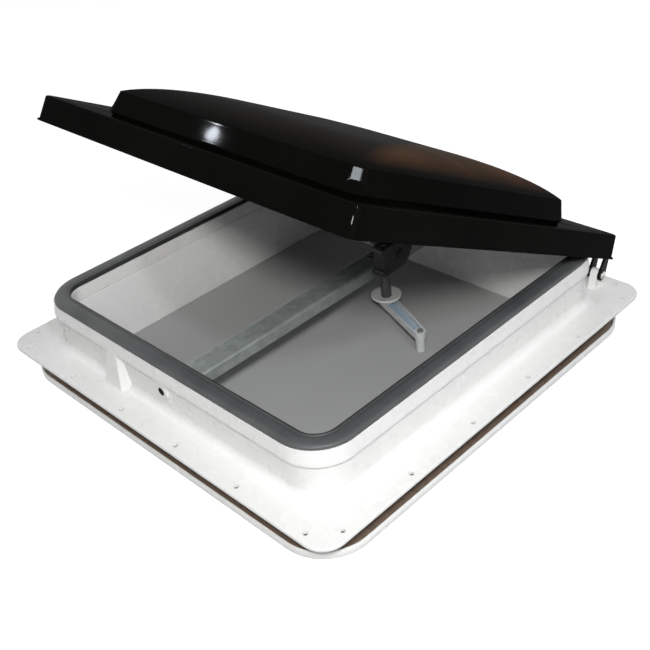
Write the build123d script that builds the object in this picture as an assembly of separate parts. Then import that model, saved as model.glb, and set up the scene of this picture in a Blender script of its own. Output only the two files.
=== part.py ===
import os
from math import asin, cos, degrees, pi, radians, sin, tan

from build123d import *

# Crank-up roof vent for a caravan, in millimetres. The origin is the middle of the roof opening,
# in the plane where the flange sits on the roof. +Z is up out of the roof, and the lid's hinges
# are on the +Y side.

# How far every cut runs past the material
past = 1.0
# Gap between pieces that only lie close together
near = 0.3
# Radial gap of a running fit, and of a screw in its own hole
run_gap = 0.05

# Half the roof opening; the collar, the flange, the lid and the trim are all reckoned from it
opening_half = 177.8
opening_corner_r = 18.0

# Roof flange, and how far it reaches out past the collar
flange_out = 32.8
flange_t = 3.0
flange_corner_r = 21.0
flange_edge_r = 1.0
screw_edge = 8.6
screw_corner = 20.0
screw_steps = (-2.5, -1.5, -0.5, 0.5, 1.5, 2.5)
screw_hole_r = 2.25

# Collar: an upside-down U with a bead round its outer top edge
collar_w = 18.0
wall_t = 2.6
collar_corner_r = 36.0
cove_r = 9.0
bead_z = 38.0
bead_out = 3.0
bead_draft = 1.4
rim_z = 53.0
step_z = 39.0
step_depth = 2.4

# Pilaster on the front wall
pilaster_x = -74.0
pilaster_top_w = 26.0
pilaster_foot_w = 44.0
pilaster_foot_out = 9.0
pilaster_face_share = 0.55

# Rim seal
seal_h = 4.2
seal_in = 1.4
seal_edge_r = 1.7

# Hinges
hinge_in = 9.8
hinge_out = 11.2
hinge_z = 17.0
hinge_pin_r = 2.5
ear_w = 8.0
ear_r = 5.5
ear_foot = 20.0
pin_head_r = 4.2
pin_head_t = 1.5
leg_t = 2.5
leg_r = 6.0
bracket_top = 17.0
bracket_t = 2.0
bracket_gap = 0.15
rivet_r = 1.6
rivet_head_r = 3.0
rivet_head_t = 1.1
rivet_pitch = 8.0

# Lid, drawn closed and then turned up to where it stands
lid_open = 27.45
lid_lip_reach = 8.2
lid_lip_t = 1.6
lid_lip_out = 1.8
lid_corner_r = 10.0
lid_low_z = 36.0
skirt_h = 23.7
skirt_draft = 1.8
lid_t = 2.0
ledge_edge_r = 1.6
dome_inset = 37.4
dome_h = 20.0
dome_draft = 6.0
dome_corner_r = 16.0
crown_h = 17.0
# The crown swells along an arc, from one angle at the dome's top edge to another near the middle
crown_reach_share = 0.55
crown_low_deg = 30.0
crown_high_deg = 82.0
crown_sections = 5
seal_gap = 0.5

# Crossbar and its end screws
bar_w = 25.0
bar_h = 13.0
bar_t = 1.2
bar_edge_r = 3.0
bar_top_z = 32.0
bar_screw_drop = 3.0
boss_r = 8.0
boss_seat = 3.2
end_screw_r = 1.5
end_screw_head_r = 3.2
end_screw_head_t = 2.2
end_screw_len = 12.0
end_bore_r = 3.7

# Operator: worm, wheel and housing beside the bar
crank_y = 75.0
tooth_module = 1.25
wheel_teeth = 20
worm_pitch_r = 4.2
tooth_up = 1.05
tooth_down = 1.35
worm_turns = 6.0
wheel_w = 5.0
tooth_share = 0.36
thread_share = 0.30
flank_deg = 20.0
shaft_r = 2.5
pivot_r = 3.0
case_t = 1.6
case_gap = 0.4
foot_t = 1.6
foot_len = 30.0
foot_reach = 21.0
foot_screw_r = 1.8
foot_screw_head_r = 3.4
foot_screw_head_t = 1.8
foot_screw_len = 6.0
foot_screw_pitch = 18.0
cover_t = 1.8
cover_boss_r = 5.0
cover_boss_t = 2.0
lug_r = 3.2
cover_screw_r = 1.25
cover_screw_head_r = 2.4
cover_screw_head_t = 1.4
cover_screw_len = 7.0
neck_r = 5.5
neck_low_z = -5.0
neck_bore_gap = 0.05
plate_r = 15.8
plate_t = 3.6
plate_dish = 1.5

# Lift arm, its roller and the rail under the lid
arm_len = 180.0
arm_t = 3.0
arm_gap = 1.0
arm_hub_r = 6.5
arm_end_r = 5.0
arm_groove = 0.8
arm_groove_in = 3.0
clip_r = 5.2
clip_t = 1.0
roller_r = 4.0
roller_w = 7.6
roller_pin_r = 2.0
roller_pin_head_r = 3.4
roller_pin_head_t = 1.2
rail_gap = 0.4
rail_t = 1.2
rail_short = 32.8
rail_slot_gap = 0.9
rail_lip_gap = 0.6
post_in = 17.0
post_w = 11.0
rail_screw_r = 1.7
rail_screw_head_r = 3.2
rail_screw_head_t = 1.4
rail_screw_len = 12.0

# Crank handle
crank_len = 74.0
crank_turn_deg = -22.0
crank_hub_r = 8.0
crank_end_r = 6.0
crank_h = 7.0
crank_rim = 1.7
crank_floor_t = 2.0
crank_seat = 0.6
crank_screw_r = 1.5
crank_screw_head_r = 3.0
crank_screw_head_t = 1.8
crank_screw_len = 8.0
knob_r = 5.2
knob_tip_r = 4.6
knob_len = 16.5
knob_edge_r = 1.2
knob_pin_r = 2.0
knob_pin_head_r = 3.4
knob_pin_head_t = 1.2

# Ceiling trim, whose collar telescopes in the base's throat
trim_out = 44.2
trim_corner_r = 46.0
trim_low_z = -30.0
trim_t = 2.2
trim_lip_h = 19.0
trim_edge_r = 1.6
collar_t = 2.0
collar_gap = 0.6
collar_top_gap = 0.3
notch_gap = 2.5
trim_screw_inset = 17.0
trim_screw_corner = 75.0
trim_screw_hole_r = 2.0

# Places and sizes that follow from the above
wall_half = opening_half + collar_w
flange_half = wall_half + flange_out
hinge_x = wall_half - hinge_in
hinge_y = wall_half + hinge_out
lid_lip_half = wall_half + lid_lip_reach
rail_half = opening_half - rail_short
post_y = rail_half - post_in
trim_half = opening_half + trim_out
trim_screw_line = trim_half - trim_screw_inset
trim_screw_pitch = trim_screw_line - trim_screw_corner
inner_out_half = opening_half + step_depth + wall_t
bead_half = wall_half + bead_out
bead_top_half = bead_half - bead_draft
screw_line = flange_half - screw_edge
screw_pitch = (screw_line - screw_corner) / screw_steps[-1]
bar_half_len = opening_half + step_depth
bar_low_z = bar_top_z - bar_h
bar_screw_z = bar_top_z - bar_screw_drop
ledge_z = lid_low_z + skirt_h
skirt_half = lid_lip_half - lid_lip_out
skirt_top_half = skirt_half - skirt_draft
ledge_low_z = ledge_z - lid_t
seal_top_z = rim_z + seal_h
dome_half = skirt_top_half - dome_inset
dome_top_half = dome_half - dome_draft
dome_z = ledge_z + dome_h
crown_z = dome_z + crown_h
lead = pi * tooth_module
wheel_pitch_r = tooth_module * wheel_teeth / 2
worm_outer_r = worm_pitch_r + tooth_up
worm_root_r = worm_pitch_r - tooth_down
wheel_outer_r = wheel_pitch_r + tooth_up
wheel_root_r = wheel_pitch_r - tooth_down
case_x0 = bar_w / 2 + case_gap
case_in_x0 = case_x0 + case_t
crank_x = case_in_x0 + case_gap + worm_outer_r
case_x1 = crank_x + worm_outer_r + case_gap
cover_x1 = case_x1 + cover_t
pivot_y = crank_y + worm_pitch_r + wheel_pitch_r
pivot_z = bar_top_z + foot_t + case_gap + arm_hub_r
case_r = wheel_outer_r + case_gap + case_t
case_y0 = crank_y - worm_outer_r - case_gap - case_t
case_low_z = pivot_z - case_r
case_top_z = pivot_z + case_r
arm_x1 = case_x0 - arm_gap
arm_x0 = arm_x1 - arm_t
rail_in_h = 2 * (roller_r + rail_gap)
rail_z1 = ledge_low_z
rail_z0 = rail_z1 - rail_in_h - 2 * rail_t
track_z = (rail_z0 + rail_z1) / 2
roller_x1 = roller_w / 2 - rail_lip_gap
roller_x0 = -roller_w / 2 - rail_lip_gap
rail_x1 = roller_x1 + rail_lip_gap + rail_t
rail_x0 = roller_x0 - rail_lip_gap - rail_t
crank_top_z = neck_low_z - crank_seat
crank_low_z = crank_top_z - crank_h
trim_in_half = opening_half - collar_gap / 2
collar_half = trim_in_half + collar_t
collar_top_z = step_z - collar_top_gap


def rounded(half, corner_r, z):
    return Pos(0, 0, z) * RectangleRounded(2 * half, 2 * half, corner_r)


def slab(half, corner_r, z0, z1):
    return extrude(rounded(half, corner_r, z0), z1 - z0)


def taper(half0, half1, corner_r, z0, z1):
    return loft([rounded(half0, corner_r, z0), rounded(half1, corner_r, z1)], ruled=True)


def rod_x(r, x0, x1, y, z):
    return Pos((x0 + x1) / 2, y, z) * Rot(0, 90, 0) * Cylinder(r, x1 - x0)


def rod_y(r, y0, y1, x, z):
    return Pos(x, (y0 + y1) / 2, z) * Rot(90, 0, 0) * Cylinder(r, y1 - y0)


def rod_z(r, z0, z1, x, y):
    return Pos(x, y, (z0 + z1) / 2) * Cylinder(r, z1 - z0)


def block(x0, x1, y0, y1, z0, z1):
    return Pos((x0 + x1) / 2, (y0 + y1) / 2, (z0 + z1) / 2) * Box(x1 - x0, y1 - y0, z1 - z0)


def side_plate(outline, x0, x1):
    # Outline in Y and Z, made solid from x0 to x1
    return Pos(x0, 0, 0) * extrude(Plane.YZ * outline, x1 - x0)


def disc_at(r, u, v):
    return Pos(u, v) * Circle(r)


def link(r0, r1, length):
    # Two round ends joined by straight sides, from the origin along +X
    flare = asin((r0 - r1) / length)
    a = (r0 * sin(flare), r0 * cos(flare))
    b = (length + r1 * sin(flare), r1 * cos(flare))
    web = Polygon((a[0], -a[1]), (b[0], -b[1]), b, a, align=None)
    return Circle(r0) + web + Pos(length, 0) * Circle(r1)


def lid_turn(shape):
    # The lid's pieces are drawn closed and turned about the hinge line
    return Pos(0, hinge_y, hinge_z) * Rot(-lid_open, 0, 0) * Pos(0, -hinge_y, -hinge_z) * shape


# Roof base
def cove_edges(body):
    between = (wall_half + flange_half) / 2
    flat = [e for e in body.edges() if abs(e.center().Z - flange_t) < near]
    return [e for e in flat if max(abs(e.center().X), abs(e.center().Y)) < between]


def rim_edges(body, z, half):
    flat = [e for e in body.edges() if abs(e.center().Z - z) < run_gap]
    return [e for e in flat if max(abs(e.center().X), abs(e.center().Y)) > half]


def pilaster():
    top_w, foot_w = pilaster_top_w / 2, pilaster_foot_w / 2
    face_top, face_foot = top_w * pilaster_face_share, foot_w * pilaster_face_share
    back = -wall_half + wall_t / 2
    front_top = -bead_half
    front_foot = -wall_half - pilaster_foot_out
    top = Polygon((-top_w, back), (top_w, back), (face_top, front_top), (-face_top, front_top), align=None)
    foot = Polygon((-foot_w, back), (foot_w, back), (face_foot, front_foot), (-face_foot, front_foot), align=None)
    sections = [Pos(pilaster_x, 0, flange_t / 2) * foot, Pos(pilaster_x, 0, bead_z + bead_out) * top]
    return loft(sections, ruled=True)


def bar_boss(side):
    y0, y1 = sorted((side * (inner_out_half - wall_t / 2), side * bead_half))
    y2, y3 = sorted((side * (wall_half - wall_t / 2), side * bead_half))
    return rod_y(boss_r, y0, y1, 0, bar_screw_z) + block(-boss_r, boss_r, y2, y3, bar_screw_z, bead_z + bead_out)


def bar_boss_bore(side):
    seat = side * (bar_half_len + boss_seat + wall_t)
    y0, y1 = sorted((seat, side * (bead_half + past)))
    y2, y3 = sorted((side * (opening_half - past), seat))
    bore = rod_y(end_bore_r, y0, y1, 0, bar_screw_z)
    return bore + rod_y(end_screw_r + run_gap, y2, y3, 0, bar_screw_z)


def hinge_ear(side):
    foot = ear_foot / 2
    sides = Polygon((hinge_y - foot, flange_t / 2), (hinge_y + foot, flange_t / 2),
                    (hinge_y + ear_r, hinge_z), (hinge_y - ear_r, hinge_z), align=None)
    outline = sides + disc_at(ear_r, hinge_y, hinge_z)
    ear = side_plate(outline, side * hinge_x - ear_w / 2, side * hinge_x + ear_w / 2)
    return ear - rod_x(hinge_pin_r, side * hinge_x - ear_w, side * hinge_x + ear_w, hinge_y, hinge_z)


def roof_base():
    flange = slab(flange_half, flange_corner_r, 0, flange_t)
    flange = fillet(rim_edges(flange, flange_t, wall_half), flange_edge_r)
    body = flange + slab(wall_half, collar_corner_r, 0, bead_z + bead_out)
    body = fillet(cove_edges(body), cove_r)
    body += slab(bead_half, collar_corner_r + bead_out, bead_z, bead_z + bead_out)
    body += taper(bead_half, bead_top_half, collar_corner_r + bead_out, bead_z + bead_out, rim_z)
    body += pilaster()
    hollow_r = collar_corner_r - wall_t
    hollow = slab(wall_half - wall_t, hollow_r, -past, rim_z - wall_t)
    hollow -= slab(inner_out_half, opening_corner_r + wall_t, -past, rim_z)
    body -= hollow
    for side in (-1, 1):
        body += bar_boss(side)
        body += hinge_ear(side)
    body -= slab(opening_half, opening_corner_r, -past, rim_z + past)
    body -= slab(opening_half + step_depth, opening_corner_r + step_depth, -past, step_z)
    for side in (-1, 1):
        body -= bar_boss_bore(side)
    for line in (-screw_line, screw_line):
        for step in screw_steps:
            along = step * screw_pitch
            body -= rod_z(screw_hole_r, -past, flange_t + past, along, line)
            body -= rod_z(screw_hole_r, -past, flange_t + past, line, along)
    return body


def rim_seal():
    outer_half = bead_top_half
    inner_half = opening_half + seal_in
    seal = slab(outer_half, collar_corner_r + bead_out, rim_z, seal_top_z)
    seal -= slab(inner_half, opening_corner_r + seal_in, rim_z - past, seal_top_z + past)
    return fillet(rim_edges(seal, seal_top_z, 0), seal_edge_r)


# Crossbar
def channel(width, height, edge_r, half_len):
    profile = Pos(0, -height / 2) * Rectangle(width, height)
    profile = fillet(profile.vertices().group_by(Axis.Y)[-1], edge_r)
    return extrude(Plane.XZ * profile, half_len, both=True)


def crossbar():
    bar = channel(bar_w, bar_h, bar_edge_r, bar_half_len)
    inside = channel(bar_w - 2 * bar_t, bar_h - bar_t + past, bar_edge_r - bar_t, bar_half_len - bar_t)
    bar = Pos(0, 0, bar_top_z) * (bar - Pos(0, 0, -bar_t) * inside)
    bar -= rod_y(end_screw_r + run_gap, -bar_half_len - past, bar_half_len + past, 0, bar_screw_z)
    for y in foot_screw_ys():
        bar -= rod_z(foot_screw_r + run_gap, bar_top_z - 2 * bar_t, bar_top_z + past, foot_screw_x(), y)
    return bar


def bar_end_screws():
    screws = []
    for side in (-1, 1):
        seat = bar_half_len + boss_seat + wall_t
        y0, y1 = sorted((side * seat, side * (seat + end_screw_head_t)))
        y2, y3 = sorted((side * (seat - end_screw_len), side * seat))
        head = rod_y(end_screw_head_r, y0, y1, 0, bar_screw_z)
        screws.append(head + rod_y(end_screw_r, y2, y3, 0, bar_screw_z))
    return Compound(children=screws)


# Operator housing
def foot_screw_x():
    return case_x0 - foot_reach + foot_screw_head_r + near


def foot_screw_ys():
    return (pivot_y - foot_screw_pitch / 2, pivot_y + foot_screw_pitch / 2)


def case_outline(inset):
    r = case_r - inset
    column_w = pivot_y - case_y0 - inset
    column = Pos(pivot_y - column_w / 2, pivot_z) * Rectangle(column_w, 2 * r)
    return column + disc_at(r, pivot_y, pivot_z)


def lug_places():
    low, high = case_low_z + lug_r, case_top_z - lug_r
    return ((case_y0, low), (case_y0, high), (pivot_y + case_r, pivot_z))


def case_lugs():
    lugs = Sketch()
    for y, z in lug_places():
        lugs += disc_at(lug_r, y, z)
    return lugs


def operator_housing():
    body = side_plate(case_outline(0) + case_lugs(), case_x0, case_x1)
    body -= side_plate(case_outline(case_t), case_in_x0, case_x1 + past)
    body += block(case_x0 - foot_reach, case_x0 + case_t, pivot_y - foot_len / 2, pivot_y + foot_len / 2,
                  bar_top_z, bar_top_z + foot_t)
    body -= rod_x(pivot_r + run_gap, case_x0 - past, case_in_x0 + past, pivot_y, pivot_z)
    body -= rod_z(shaft_r + run_gap, pivot_z, case_top_z + past, crank_x, crank_y)
    body -= rod_z(neck_r, case_low_z - past, pivot_z - wheel_outer_r, crank_x, crank_y)
    for y, z in lug_places():
        body -= rod_x(cover_screw_r + run_gap, case_x1 - cover_screw_len, case_x1 + past, y, z)
    for y in foot_screw_ys():
        body -= rod_z(foot_screw_r + run_gap, bar_top_z - past, bar_top_z + foot_t + past, foot_screw_x(), y)
    return body


def operator_cover():
    cover = side_plate(case_outline(0) + case_lugs(), case_x1, cover_x1)
    cover += rod_x(cover_boss_r, case_x1 - near, cover_x1 + cover_boss_t, pivot_y, pivot_z)
    cover -= rod_x(pivot_r + run_gap, case_x1 - past, cover_x1, pivot_y, pivot_z)
    for y, z in lug_places():
        cover -= rod_x(cover_screw_r + run_gap, case_x1 - past, cover_x1 + past, y, z)
    return cover


def cover_screws():
    screws = []
    for y, z in lug_places():
        head = rod_x(cover_screw_head_r, cover_x1, cover_x1 + cover_screw_head_t, y, z)
        shank_end = cover_x1 - cover_screw_len
        screws.append(head + rod_x(cover_screw_r, shank_end, cover_x1, y, z))
    return Compound(children=screws)


def foot_screws():
    screws = []
    seat = bar_top_z + foot_t
    for y in foot_screw_ys():
        head = rod_z(foot_screw_head_r, seat, seat + foot_screw_head_t, foot_screw_x(), y)
        screws.append(head + rod_z(foot_screw_r, seat - foot_screw_len, seat, foot_screw_x(), y))
    return Compound(children=screws)


def crank_neck():
    tube = rod_z(neck_r, neck_low_z, case_low_z + case_t - near, crank_x, crank_y)
    return tube - rod_z(shaft_r + neck_bore_gap, neck_low_z - past, case_low_z + 2 * case_t, crank_x, crank_y)


def neck_plate():
    # Dished round plate at the foot of the neck
    z1 = neck_low_z + plate_t
    profile = Polygon((neck_r, neck_low_z), (plate_r - plate_dish, neck_low_z), (plate_r, neck_low_z + plate_dish),
                      (plate_r, z1), (plate_r - plate_dish, z1), (neck_r + plate_dish, neck_low_z + plate_dish),
                      (neck_r, neck_low_z + plate_dish), align=None)
    return Pos(crank_x, crank_y, 0) * revolve(Plane.XZ * profile, Axis.Z)


# Worm on the crank's shaft, left-handed
def worm_shaft():
    start_z = pivot_z - (int(worm_turns / 2) + 0.25) * lead
    path = Helix(lead, worm_turns * lead, worm_pitch_r, lefthand=True)
    rise = tan(radians(flank_deg))
    half_w = lead * thread_share / 2
    tip, root = half_w - tooth_up * rise, half_w + tooth_down * rise
    deep = tooth_down + near
    thread = Polygon((-deep, -root), (tooth_up, -tip), (tooth_up, tip), (-deep, root), align=None)
    section = Plane(origin=(worm_pitch_r, 0, 0), x_dir=(1, 0, 0), z_dir=(0, -1, 0)) * thread
    coil = sweep(section, path=path, is_frenet=True)
    length = worm_turns * lead
    core = Pos(0, 0, length / 2) * Cylinder(worm_root_r, length + 2 * tooth_module)
    worm = Pos(crank_x, crank_y, start_z) * (core + coil)
    shaft = rod_z(shaft_r, crank_low_z + crank_floor_t, case_top_z, crank_x, crank_y)
    shaft -= rod_z(crank_screw_r + run_gap, crank_low_z, crank_low_z + crank_floor_t + crank_screw_len,
                   crank_x, crank_y)
    return worm + shaft


def worm_wheel():
    rise = tan(radians(flank_deg))
    half_w = lead * tooth_share / 2
    tip, root = half_w - tooth_up * rise, half_w + tooth_down * rise
    tooth = Polygon((wheel_root_r - near, -root), (wheel_outer_r, -tip), (wheel_outer_r, tip),
                    (wheel_root_r - near, root), align=None)
    outline = Sketch() + Circle(wheel_root_r)
    for k in range(wheel_teeth):
        outline += Rot(0, 0, k * 360 / wheel_teeth) * tooth
    outline -= Circle(pivot_r)
    return Pos(crank_x - wheel_w / 2, pivot_y, pivot_z) * extrude(Plane.YZ * outline, wheel_w)


# Lift arm, set so that its roller lies in the rail at the lid's rest angle
def arm_rest_deg():
    turn = radians(lid_open)
    ahead, above = hinge_y - pivot_y, pivot_z - hinge_z
    need = (track_z - hinge_z) - above * cos(turn) + ahead * sin(turn)
    return lid_open + degrees(asin(need / arm_len))


def arm_place(shape):
    # Drawn flat along -Y from the pivot, then raised about the pivot
    return Pos(0, pivot_y, pivot_z) * Rot(-arm_rest_deg(), 0, 0) * shape


def lift_arm():
    outline = Rot(0, 0, 180) * link(arm_hub_r, arm_end_r, arm_len)
    arm = side_plate(outline, arm_x0, arm_x1)
    groove = Rot(0, 0, 180) * Pos(arm_hub_r * 2, 0) * link(
        arm_hub_r - arm_groove_in, arm_end_r - arm_groove_in, arm_len - 2 * (arm_hub_r + arm_end_r))
    arm -= side_plate(groove, arm_x1 - arm_groove, arm_x1 + past)
    arm -= rod_x(pivot_r, arm_x0 - past, arm_x1 + past, 0, 0)
    arm -= rod_x(roller_pin_r, arm_x0 - past, arm_x1 + past, -arm_len, 0)
    return arm_place(arm)


def arm_shaft():
    return rod_x(pivot_r, arm_x0 - 2 * clip_t, cover_x1 - near, pivot_y, pivot_z)


def arm_clip():
    x1 = arm_x0
    clip = rod_x(clip_r, x1 - clip_t, x1, pivot_y, pivot_z)
    return clip - rod_x(pivot_r, x1 - clip_t - past, x1 + past, pivot_y, pivot_z)


def roller_pin():
    pin = rod_x(roller_pin_r, roller_x0, arm_x1, -arm_len, 0)
    return arm_place(pin + rod_x(roller_pin_head_r, arm_x1, arm_x1 + roller_pin_head_t, -arm_len, 0))


def roller():
    wheel = rod_x(roller_r, roller_x0, roller_x1, -arm_len, 0)
    return arm_place(wheel - rod_x(roller_pin_r + run_gap, roller_x0 - past, roller_x1 + past, -arm_len, 0))


def lift_rail():
    # C-section, open towards the arm
    slot = roller_pin_r + rail_slot_gap
    rail = block(rail_x0, rail_x1, -rail_half, rail_half, rail_z0, rail_z1)
    rail -= block(rail_x0 + rail_t, rail_x1 - rail_t, -rail_half - past, rail_half + past,
                  rail_z0 + rail_t, rail_z1 - rail_t)
    rail -= block(rail_x1 - rail_t - past, rail_x1 + past, -rail_half - past, rail_half + past,
                  track_z - slot, track_z + slot)
    for y in (-post_y, post_y):
        rail -= rod_z(rail_screw_r + run_gap, rail_z1 - rail_t - past, rail_z1 + past, rail_mid_x(), y)
    return lid_turn(rail)


def rail_mid_x():
    return (rail_x0 + rail_x1) / 2


def rail_screws():
    screws = []
    seat = rail_z1 - rail_t
    for y in (-post_y, post_y):
        head = rod_z(rail_screw_head_r, seat - rail_screw_head_t, seat, rail_mid_x(), y)
        screws.append(lid_turn(head + rod_z(rail_screw_r, seat, seat + rail_screw_len, rail_mid_x(), y)))
    return Compound(children=screws)


# Lid
def crown(inset):
    sections = []
    low, high = radians(crown_low_deg), radians(crown_high_deg)
    for k in range(crown_sections):
        turn = low + (high - low) * k / (crown_sections - 1)
        drawn_in = dome_top_half * crown_reach_share * (cos(low) - cos(turn))
        rise = crown_h * (sin(turn) - sin(low)) / (sin(high) - sin(low))
        corner = dome_corner_r - inset + drawn_in / 3
        sections.append(rounded(dome_top_half - inset - drawn_in, corner, dome_z - inset + rise))
    return loft(sections)


def skirt_face(z):
    # Where the skirt's outer face stands at a height
    return skirt_half - skirt_draft * (z - lid_low_z) / skirt_h


def lid_form(inset):
    low = lid_low_z - (past if inset else 0)
    ledge = ledge_z - inset
    skirt = taper(skirt_half - inset, skirt_face(ledge) - inset, lid_corner_r - inset, lid_low_z, ledge)
    if inset:
        skirt += slab(skirt_half - inset, lid_corner_r - inset, low, lid_low_z)
    else:
        skirt = fillet(rim_edges(skirt, ledge, 0), ledge_edge_r)
    wall = taper(dome_half - inset, dome_top_half - inset, dome_corner_r - inset, ledge, dome_z - inset)
    return skirt + wall + crown(inset)


def rivet_zs():
    middle = (lid_low_z + lid_lip_t + ledge_z - ledge_edge_r) / 2
    return (middle - rivet_pitch / 2, middle + rivet_pitch / 2)


def lid_shell():
    outer = lid_form(0)
    lip = slab(lid_lip_half, lid_corner_r + lid_lip_out, lid_low_z, lid_low_z + lid_lip_t)
    width = ear_w / 2 + near + leg_t + near
    for side in (-1, 1):
        lip -= block(side * hinge_x - width, side * hinge_x + width, skirt_half, lid_lip_half + past,
                     lid_low_z - past, lid_low_z + lid_lip_t + past)
    shell = outer + lip - lid_form(lid_t)
    for y in (-post_y, post_y):
        post = block(rail_mid_x() - post_w / 2, rail_mid_x() + post_w / 2, y - post_w / 2, y + post_w / 2,
                     rail_z1, crown_z)
        post = post & outer
        shell += post - rod_z(rail_screw_r + run_gap, rail_z1 - past, rail_z1 + rail_screw_len, rail_mid_x(), y)
    for side in (-1, 1):
        for z in rivet_zs():
            shell -= rod_y(rivet_r + run_gap, skirt_top_half - 2 * lid_t, skirt_half + past, side * hinge_x, z)
    return lid_turn(shell)


def hinge_bracket(side):
    # Folded bracket: a web on the back of the skirt and two legs down to the pin
    half_w = ear_w / 2 + near + leg_t
    low_z, top_z = lid_low_z + lid_lip_t, lid_low_z + lid_lip_t + bracket_top
    face_low, face_top = skirt_face(low_z) + bracket_gap, skirt_face(top_z) + bracket_gap
    out_y = skirt_face(low_z) + bracket_t
    web = Polygon((face_low, low_z), (out_y, low_z), (out_y, top_z), (face_top, top_z), align=None)
    fold = Polygon((hinge_y - leg_r, hinge_z), (hinge_y + leg_r, hinge_z), (out_y + bracket_t, top_z),
                   (face_top, top_z), (face_low, low_z), (skirt_half + near, lid_low_z), align=None)
    x = side * hinge_x
    legs = side_plate(fold + disc_at(leg_r, hinge_y, hinge_z), x - half_w, x + half_w)
    inner = half_w - leg_t
    legs -= block(x - inner, x + inner, 0, hinge_y + 2 * leg_r, hinge_z - 2 * leg_r, top_z + past)
    bracket = side_plate(web, x - half_w, x + half_w) + legs
    bracket -= rod_x(hinge_pin_r + run_gap, x - 2 * half_w, x + 2 * half_w, hinge_y, hinge_z)
    for z in rivet_zs():
        bracket -= rod_y(rivet_r + run_gap, skirt_top_half - lid_t, out_y + past, x, z)
    return lid_turn(bracket)


def bracket_rivets():
    rivets = []
    out_y = skirt_face(lid_low_z + lid_lip_t) + bracket_t
    for side in (-1, 1):
        for z in rivet_zs():
            back = skirt_face(z) - lid_t - near
            shank = rod_y(rivet_r, back, out_y, side * hinge_x, z)
            head = rod_y(rivet_head_r, out_y, out_y + rivet_head_t, side * hinge_x, z)
            tail = rod_y(rivet_head_r, back - rivet_head_t, back, side * hinge_x, z)
            rivets.append(lid_turn(shank + head + tail))
    return Compound(children=rivets)


def hinge_pins():
    pins = []
    reach = ear_w / 2 + near + leg_t + near
    for side in (-1, 1):
        x = side * hinge_x
        pin = rod_x(hinge_pin_r, x - reach - pin_head_t, x + reach, hinge_y, hinge_z)
        head = rod_x(pin_head_r, x + reach, x + reach + pin_head_t, hinge_y, hinge_z)
        tail = rod_x(pin_head_r, x - reach - pin_head_t, x - reach, hinge_y, hinge_z)
        pins.append(pin + head + tail)
    return Compound(children=pins)


# Crank handle
def crank_place(shape):
    return Pos(crank_x, crank_y, 0) * Rot(0, 0, crank_turn_deg) * shape


def crank_handle():
    arm = Pos(0, 0, crank_low_z) * extrude(link(crank_hub_r, crank_end_r, crank_len), crank_h)
    recess = link(crank_hub_r - crank_rim, crank_end_r - crank_rim, crank_len - crank_hub_r - crank_end_r)
    recess = Pos(crank_hub_r + crank_rim, 0, crank_low_z + crank_floor_t) * extrude(recess, crank_h)
    recess -= rod_z(crank_hub_r, crank_low_z, crank_top_z + past, 0, 0)
    recess -= rod_z(crank_end_r, crank_low_z, crank_top_z + past, crank_len, 0)
    arm -= recess
    arm -= rod_z(shaft_r, crank_low_z + crank_floor_t, crank_top_z + past, 0, 0)
    arm -= rod_z(crank_screw_r + run_gap, crank_low_z - past, crank_top_z, 0, 0)
    arm -= rod_z(knob_pin_r, crank_low_z - past, crank_top_z + past, crank_len, 0)
    return crank_place(arm)


def crank_screw():
    head = rod_z(crank_screw_head_r, crank_low_z - crank_screw_head_t, crank_low_z, 0, 0)
    return crank_place(head + rod_z(crank_screw_r, crank_low_z, crank_low_z + crank_screw_len, 0, 0))


def knob_low_z():
    return crank_low_z - near - knob_len


def knob_pin():
    pin = rod_z(knob_pin_r, knob_low_z() + knob_edge_r, crank_top_z, crank_len, 0)
    return crank_place(pin + rod_z(knob_pin_head_r, crank_top_z, crank_top_z + knob_pin_head_t, crank_len, 0))


def crank_knob():
    low = knob_low_z()
    knob = loft([Pos(crank_len, 0, low) * Circle(knob_tip_r), Pos(crank_len, 0, crank_low_z - near) * Circle(knob_r)])
    knob = fillet(knob.edges().group_by(Axis.Z)[0], knob_edge_r)
    return crank_place(knob - rod_z(knob_pin_r + run_gap, low + knob_edge_r - near, crank_low_z, crank_len, 0))


# Ceiling trim
def ceiling_trim():
    outer = slab(trim_half, trim_corner_r, trim_low_z, trim_low_z + trim_lip_h)
    outer = fillet(rim_edges(outer, trim_low_z, 0), trim_edge_r)
    frame = outer - slab(trim_half - trim_t, trim_corner_r - trim_t, trim_low_z + trim_t, trim_low_z + 2 * trim_lip_h)
    collar_r = opening_corner_r + collar_t
    frame += slab(collar_half, collar_r, trim_low_z, collar_top_z)
    frame -= slab(trim_in_half, opening_corner_r, trim_low_z - past, collar_top_z + past)
    notch = bar_w / 2 + notch_gap
    frame -= block(-notch, notch, -collar_half - past, collar_half + past, bar_low_z - notch_gap, collar_top_z + past)
    for side in (-trim_screw_line, trim_screw_line):
        for along in (-trim_screw_pitch, 0, trim_screw_pitch):
            frame -= rod_z(trim_screw_hole_r, trim_low_z - past, trim_low_z + 2 * trim_t, along, side)
            frame -= rod_z(trim_screw_hole_r, trim_low_z - past, trim_low_z + 2 * trim_t, side, along)
    return frame


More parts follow.
